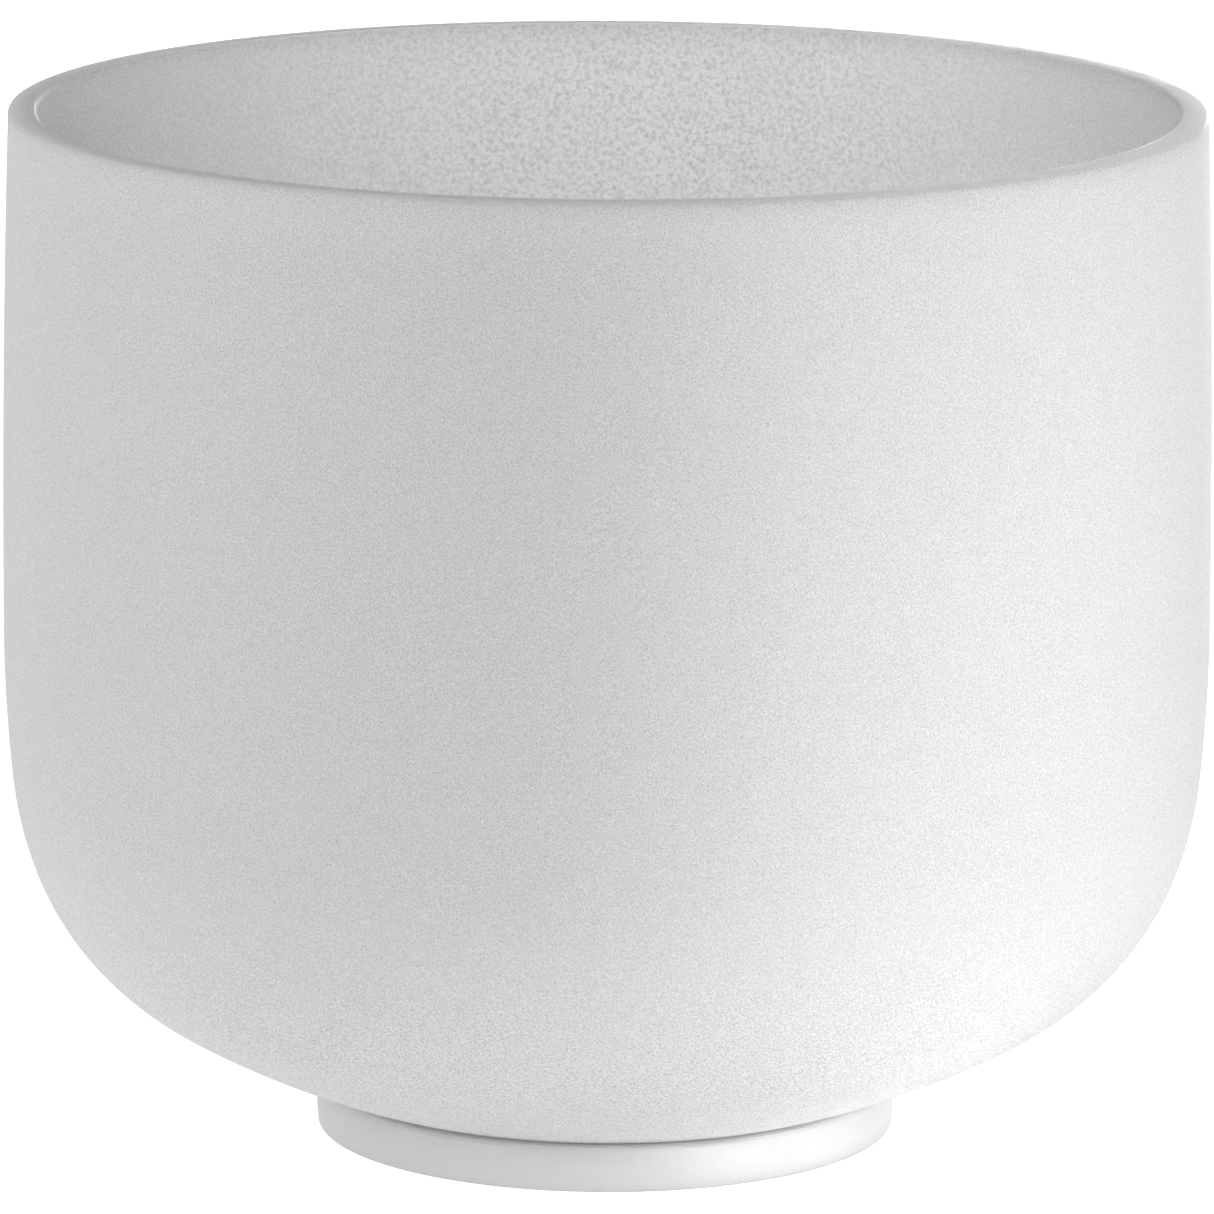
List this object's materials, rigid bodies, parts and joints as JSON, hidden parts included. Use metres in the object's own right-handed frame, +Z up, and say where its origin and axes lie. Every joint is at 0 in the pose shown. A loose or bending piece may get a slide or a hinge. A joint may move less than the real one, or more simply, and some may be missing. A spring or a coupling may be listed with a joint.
{
  "type": "singing bowl",
  "caption": "Deep round singing bowl in frosted quartz with a ground rim, standing on a low flexible support ring.",
  "frame": {"origin": "centre of the support ring's underside, on the surface it stands on", "axes": "+Z up along the bowl's own axis, out of its mouth; X and Y level, the object is round about Z"},
  "size_m": [0.254, 0.254, 0.2178],
  "materials": {
    "frosted_quartz": "sandblasted, matt and faintly translucent",
    "milky_silicone": "smooth satin, milky translucent"
  },
  "bodies": {
    "ring": {"support_ring": "milky_silicone"},
    "bowl": {"bowl": "frosted_quartz"}
  },
  "joints": [
    {"name": "bowl_lift", "type": "slide", "parent": "ring", "child": "bowl", "axis": [0, 0, 1], "range_m": [0, 0.06]}
  ]
}
